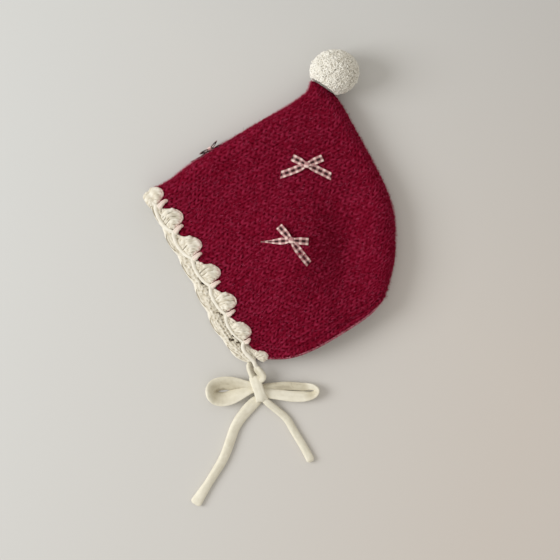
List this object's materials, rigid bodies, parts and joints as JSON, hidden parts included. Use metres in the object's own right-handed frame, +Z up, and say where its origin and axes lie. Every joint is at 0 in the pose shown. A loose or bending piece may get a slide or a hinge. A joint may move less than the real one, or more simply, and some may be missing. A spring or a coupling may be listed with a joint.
{
  "type": "knitted pixie baby bonnet",
  "caption": "Knitted pixie bonnet lying folded on its side: pointed hood with a scalloped crochet edging, a pompom at the peak, ribbon bows and a tied pair of straps.",
  "frame": {"origin": "middle of the hood's flat underside, on the surface that it lies on", "axes": "+Z up from the surface; +Y towards the peak and its pompom, with the tie's tails towards -Y; the face opening looks towards -X and -Y"},
  "size_m": [0.2114, 0.3895, 0.0395],
  "materials": {
    "crimson_knit": "brushed stockinette knit, matt, with a pinkish fuzz",
    "cream_crochet": "cream crocheted yarn, matt",
    "cream_pompom": "curly cream yarn ends, matt",
    "checked_ribbon": "woven checked ribbon, dark red brown on off-white",
    "cream_strap": "knitted cream tie strap, matt"
  },
  "bodies": {
    "root": {"crown": "crimson_knit", "scallop_edging": "cream_crochet", "pompom": "cream_pompom", "bow_upper": "checked_ribbon", "bow_lower": "checked_ribbon", "bow_ridge": "checked_ribbon", "tie_strap_left": "cream_strap", "tie_strap_right": "cream_strap", "tie_knot": "cream_strap", "tie_loop_left": "cream_strap", "tie_loop_right": "cream_strap", "tie_tail_left": "cream_strap", "tie_tail_right": "cream_strap"}
  },
  "joints": []
}
